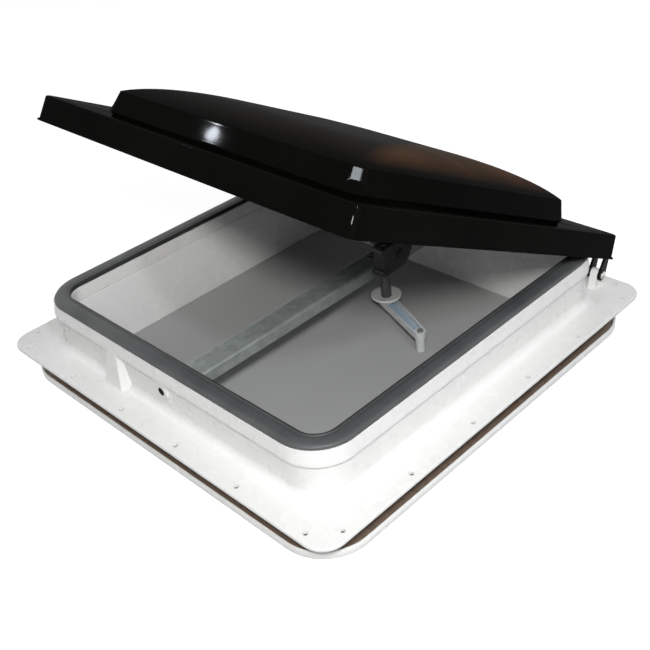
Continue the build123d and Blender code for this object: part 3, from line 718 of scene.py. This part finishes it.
def makeLid(s):
    inner = list(reversed(crownRings(s, s["wall"])))
    rings = crownRings(s, 0) + s["shoulder"] + s["ledge"] + s["lip"] + s["inside"] + inner
    eased = easedCorner(s["cornerSteps"], s["cornerFlat"], s["cornerTurns"])
    verts = []
    for half, height, radius in rings:
        if half <= s["domeEdge"]:
            outline = [(x, y if y < 0 else y * s["backReach"]) for x, y in squareOf(eased, half, radius)]
        else:
            outline = roundedSquare(half, radius, s["cornerSteps"])
        verts += [(x, y, height) for x, y in outline]
    count = len(verts) // len(rings)
    faces = [tuple(reversed(face)) for face in ringFaces(len(rings), count)]
    faces.append(tuple(range(count)))
    faces.append(tuple(reversed(range(len(verts) - count, len(verts)))))
    for middle in (-s["notchX"], s["notchX"]):
        notch = boxCorners(middle - s["notchHalf"], middle + s["notchHalf"], *s["notchY"], *s["notchZ"])
        verts, faces = cutAway("lidNotch", verts, faces, notch, boxFaces)
    verts, faces = joined([(verts, faces), lidPost(s, -s["postY"]), lidPost(s, s["postY"])])
    verts = [Vector(onLid(v)) / 1000 for v in verts]
    lid = addPiece("lidSkin", verts, faces, "lid", "lid", s["smooth"])
    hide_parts("lid_shell")


makeLid(lidSkin)
print("vent: lid made")


# the trim's rings of (half width, height, corner radius), round its outer lip, floor and collar
trimRings = {
    "rings": [(220.4, -29.999, 44.4), (221.5, -29.55, 45.5), (222.0, -28.4, 46.0), (222.0, -22.8, 46.0),
              (221.6, -22.15, 45.6), (220.9, -22.0, 44.9), (220.2, -22.15, 44.2), (219.8, -22.8, 43.8),
              (219.8, -26.8, 43.8), (218.8, -27.8, 42.8), (181.5, -27.8, 22.0), (180.1, -27.2, 20.6),
              (179.5, -25.8, 20.0), (179.5, 38.3, 20.0), (179.1, 38.7, 19.6), (177.9, 38.7, 18.4),
              (177.5, 38.3, 18.0), (177.5, -28.6, 18.0), (177.9, -29.6, 18.4), (178.9, -29.999, 19.4)],
    "cornerSteps": 16,
    "notch": (-15.0, 15.0, -182.0, 182.0, 16.5, 40.0),
    "holeLine": 205.0,
    "holeSteps": (-130.0, 0.0, 130.0),
    "hole": [(-34, 2.0), (-24, 2.0)],
    "holeSides": 24,
    "smooth": 36,
}


def trimHoles(s):
    # cutters for the screw holes along the four sides, in millimetres as the trim is while it is cut
    larger = Matrix.Scale(1000, 4)
    holes = []
    for line in (-s["holeLine"], s["holeLine"]):
        for along in s["holeSteps"]:
            for x, y in ((along, line), (line, along)):
                verts, faces = lathe(s["hole"], s["holeSides"], larger)
                holes.append(([v + Vector((x, y, 0)) for v in verts], faces))
    return joined(holes)


def makeTrim(s):
    verts = []
    for half, height, radius in s["rings"]:
        verts += [(x, y, height) for x, y in roundedSquare(half, radius, s["cornerSteps"])]
    faces = ringFaces(len(s["rings"]), len(verts) // len(s["rings"]), closed=True)
    verts, faces = cutAway("trimNotch", verts, faces, boxCorners(*s["notch"]), boxFaces)
    verts, faces = cutAway("trimHoles", verts, faces, *trimHoles(s))
    verts = [Vector(v) / 1000 for v in verts]
    trim = addPiece("trimFrame", verts, faces, "trim", "ceiling_trim", s["smooth"])
    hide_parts("ceiling_trim")


makeTrim(trimRings)
print("vent: trim made")


# cross-head screws: shares are of a screw's own sizes, places are a seat and the way the head looks
screwShape = {
    "tipShare": 0.45,
    "rootShare": 0.82,
    "flankShare": 0.25,
    "crestShare": 0.6,
    "neckShare": 0.9,
    "rimShare": 0.97,
    "sideShare": 0.3,
    "domeShare": 0.62,
    "domeTurn": 0.92,
    "domeSteps": 6,
    "bareShank": 1,
    "neckLength": 0.4,
    "seatGap": 0.01,
    "crossDepthShare": 0.72,
    "crossReachShare": 0.62,
    "crossHalfShare": 0.16,
    "footReachShare": 0.35,
    "footHalfShare": 0.6,
    "crossAbove": 0.4,
    "railSeat": 56.5,
    "sides": 28,
    "smooth": 35,
}
railSeats = [(lidSkin["postX"], side * lidSkin["postY"], screwShape["railSeat"]) for side in (-1, 1)]
screwKinds = {
    "barEndScrewHeads": {
        "shank": 1.5, "length": 12, "head": 3.2, "height": 2.2, "pitch": 0.8, "finish": "dullZinc",
        "places": [((0, -186.0, 29), (0, -1, 0)), ((0, 186.0, 29), (0, 1, 0))],
        "body": "base", "node": "bar_end_screws",
    },
    "footScrewHeads": {
        "shank": 1.8, "length": 6, "head": 3.4, "height": 1.8, "pitch": 0.9, "finish": "dullZinc",
        "places": [((-4.4, 82.7, 33.6), (0, 0, 1)), ((-4.4, 100.7, 33.6), (0, 0, 1))],
        "body": "base", "node": "foot_screws",
    },
    "coverScrewHeads": {
        "shank": 1.25, "length": 7, "head": 2.4, "height": 1.4, "pitch": 0.6, "finish": "dullZinc",
        "places": [((27.6, 67.75, 28.15), (1, 0, 0)), ((27.6, 67.75, 52.85), (1, 0, 0)),
                   ((27.6, 107.25, 40.5), (1, 0, 0))],
        "body": "base", "node": "cover_screws",
    },
    "railScrewHeads": {
        "shank": 1.7, "length": 12, "head": 3.2, "height": 1.4, "pitch": 0.8, "finish": "zincPlate",
        "places": [(onLid(seat), [-v for v in lidUp]) for seat in railSeats],
        "body": "lid", "node": "rail_screws",
    },
    "crankScrewHead": {
        "shank": 1.5, "length": 8, "head": 3.0, "height": 1.8, "pitch": 0.7, "finish": "zincPlate",
        "places": [((20.15, 75, -12.6), (0, 0, -1))],
        "body": "crank", "node": "crank_screw",
    },
}


def panProfile(s, screw):
    # threaded shank from its tip, then the neck and the domed head
    shank, start, pitch = screw["shank"], -screw["length"] + screw["shank"], screw["pitch"]
    head, height, side = screw["head"], screw["height"], s["sideShare"]
    profile = [(-screw["length"], shank * s["tipShare"]), (start, shank * s["rootShare"])]
    for k in range(int((screw["length"] - shank - s["bareShank"]) / pitch)):
        at = start + k * pitch
        profile.append((at + pitch * s["flankShare"], shank * s["rootShare"]))
        profile.append((at + pitch * s["crestShare"], shank))
    neck = shank * s["neckShare"]
    profile += [(-s["neckLength"], neck), (s["seatGap"], neck)]
    profile += [(s["seatGap"], head * s["rimShare"]), (height * side, head)]
    for k in range(1, s["domeSteps"] + 1):
        angle = k / s["domeSteps"] * pi / 2 * s["domeTurn"]
        drawnIn = s["domeShare"] * (1 - cos(angle))
        profile.append((height * (side + (1 - side) * sin(angle)), head * (1 - drawnIn)))
    return profile


def crossCutter(s, screw, place):
    # two crossed wedges, wide at the head's face
    reach, half = screw["head"] * s["crossReachShare"], screw["head"] * s["crossHalfShare"]
    top = screw["height"] + s["crossAbove"]
    low = screw["height"] - screw["height"] * s["crossDepthShare"]
    sections = ((low, reach * s["footReachShare"], half * s["footHalfShare"]), (top, reach, half))
    wedges = []
    for turned in (False, True):
        verts = []
        for level, u, v in sections:
            for x, y in ((-u, -v), (u, -v), (u, v), (-u, v)):
                if turned:
                    x, y = -y, x
                verts.append(place @ Vector((x / 1000, y / 1000, level / 1000)))
        wedges.append((verts, boxFaces))
    return joined(wedges)


def crossHeadScrews(name, s, screw):
    screws = []
    for point, direction in screw["places"]:
        place = facing(point, direction)
        verts, faces = lathe(panProfile(s, screw), s["sides"], place)
        screws.append(cutAway(name, verts, faces, *crossCutter(s, screw, place)))
    piece = addPiece(name, *joined(screws), screw["finish"], screw["body"], s["smooth"])
    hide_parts(screw["node"])


for name, screw in screwKinds.items():
    crossHeadScrews(name, screwShape, screw)
print("vent: cross-head screws made")


# domed rivets of the hinge brackets, and the hinge pins with their two heads
rivetSettings = {
    "x": 186.0,
    "seat": 204.08,
    "rows": ((43.85, 199.30), (51.85, 198.70)),
    "head": [(0.0, 2.95), (0.25, 3.0), (0.65, 2.7), (0.95, 1.9), (1.1, 0.7)],
    "tail": [(-1.1, 0.8), (-0.95, 1.9), (-0.6, 2.7), (-0.2, 3.0), (0.0, 2.95)],
    "shank": 1.6,
    "pin": [(-8.6, 2.2), (-8.35, 3.4), (-7.9, 4.05), (-7.15, 4.2), (-7.1, 2.5), (7.1, 2.5), (7.15, 4.2),
            (7.9, 4.05), (8.35, 3.4), (8.6, 2.2)],
    "sides": 32,
    "smooth": 42,
}


def rivets(s):
    turned = []
    for side in (-1, 1):
        for height, back in s["rows"]:
            tail = [(back - s["seat"] + along, radius) for along, radius in s["tail"]]
            shank = [(back - s["seat"], s["shank"]), (0, s["shank"])]
            place = facing(onLid((side * s["x"], s["seat"], height)), lidBack)
            turned.append((tail + shank + s["head"], place))
    return turned


def hingePins(s):
    y, z = lidSettings["hinge"][1:]
    return [(s["pin"], facing((side * s["x"], y, z), (1, 0, 0))) for side in (-1, 1)]


def turnedPieces(name, turned, s, finish, body, node):
    verts, faces = joined([lathe(profile, s["sides"], place) for profile, place in turned])
    piece = addPiece(name, verts, faces, finish, body, s["smooth"])
    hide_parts(node)


turnedPieces("bracketRivets", rivets(rivetSettings), rivetSettings, "blackCoat", "lid", "bracket_rivets")
turnedPieces("hingePins", hingePins(rivetSettings), rivetSettings, "zincPlate", "base", "hinge_pins")
print("vent: rivets and hinge pins made")


# floor and light
floorSettings = {
    "size": 14,
    "colour": (0.36, 0.36, 0.358),
    "rough": 0.95,
    "glow": 0.88,
    "throat": (0.200, 0.030),
    "throatFade": 0.01,
}
lightSettings = {
    "world": (0.95, 0.965, 1.0),
    "worldStrength": 0.25,
    "lamps": {
        "keyLamp": {"place": (0.70, -0.64, 0.79), "size": 0.13, "power": 9.3, "colour": (1.0, 0.99, 0.975)},
        "sideLamp": {"place": (1.9, -0.5, 1.25), "size": 1.4, "power": 4, "colour": (0.97, 0.985, 1.0)},
        "backLamp": {"place": (0.9, 2.2, 1.9), "size": 1.6, "power": 4, "colour": (1.0, 1.0, 1.0)},
        "windowLamp": {"place": (-1.433, -0.782, 1.279), "size": 0.04, "power": 1.5,
                       "colour": (0.86, 0.92, 1.0)},
        "glintLamp": {"place": (0.779, -0.360, 0.847), "size": 0.075, "power": 2.5,
                      "colour": (0.86, 0.92, 1.0)},
    },
}


def seenDirectly(tree):
    path = addNode(tree, "ShaderNodeLightPath")
    share = path.outputs["Is Camera Ray"]
    for ray in ("Is Glossy Ray", "Is Transmission Ray"):
        share = combine(tree, share, path.outputs[ray], "MAXIMUM")
    return share


def chosenByRay(tree, plain, seen):
    chosen = addNode(tree, "ShaderNodeMixShader")
    for source, socket in zip((seenDirectly(tree), plain.outputs[0], seen.outputs[0]), chosen.inputs):
        tree.links.new(source, socket)
    return chosen.outputs[0]


def makeFloor(s):
    # plain paper that glows pale where it is looked at, apart from what lies below the throat
    low = cadBox[0][2]
    half = s["size"] / 2
    corners = [(-half, -half, low), (half, -half, low), (half, half, low), (-half, half, low)]
    floor = looseObject("floor", corners, [(0, 1, 2, 3)])
    material, tree, shader = startMaterial("floorPaper")
    setShader(shader, Base_Color=(*s["colour"], 1), Roughness=s["rough"], Specular_IOR_Level=0.0)
    fade = s["throatFade"]
    around = spread(tree, squareDistance(tree, objectCoords(tree), *s["throat"]), -fade, fade, 0, s["glow"])
    glow = addNode(tree, "ShaderNodeEmission")
    tree.links.new(around, glow.inputs["Strength"])
    black = addNode(tree, "ShaderNodeEmission", Strength=0.0)
    total = addNode(tree, "ShaderNodeAddShader")
    tree.links.new(shader.outputs[0], total.inputs[0])
    tree.links.new(chosenByRay(tree, black, glow), total.inputs[1])
    tree.links.new(total.outputs[0], tree.nodes["Material Output"].inputs["Surface"])
    floor.data.materials.append(material)


def makeWorld(s):
    world = bpy.data.worlds.new("studio")
    world.use_nodes = True
    tree = world.node_tree
    light = tree.nodes["Background"]
    setShader(light, Color=(*s["world"], 1), Strength=s["worldStrength"])
    white = addNode(tree, "ShaderNodeBackground", Color=(1, 1, 1, 1), Strength=1.0)
    tree.links.new(chosenByRay(tree, light, white), tree.nodes["World Output"].inputs["Surface"])
    bpy.context.scene.world = world


def makeLamp(name, s):
    data = bpy.data.lights.new(name, "AREA")
    data.shape = "DISK"
    data.size = s["size"]
    data.energy = s["power"]
    data.color = s["colour"]
    lamp = bpy.data.objects.new(name, data)
    lamp.location = s["place"]
    lamp.rotation_euler = (-Vector(s["place"])).to_track_quat("-Z", "Y").to_euler()
    bpy.context.scene.collection.objects.link(lamp)


makeFloor(floorSettings)
makeWorld(lightSettings)
for name, lamp in lightSettings["lamps"].items():
    makeLamp(name, lamp)
bpy.context.scene.view_settings.view_transform = "Standard"
print("vent: floor and lamps set")
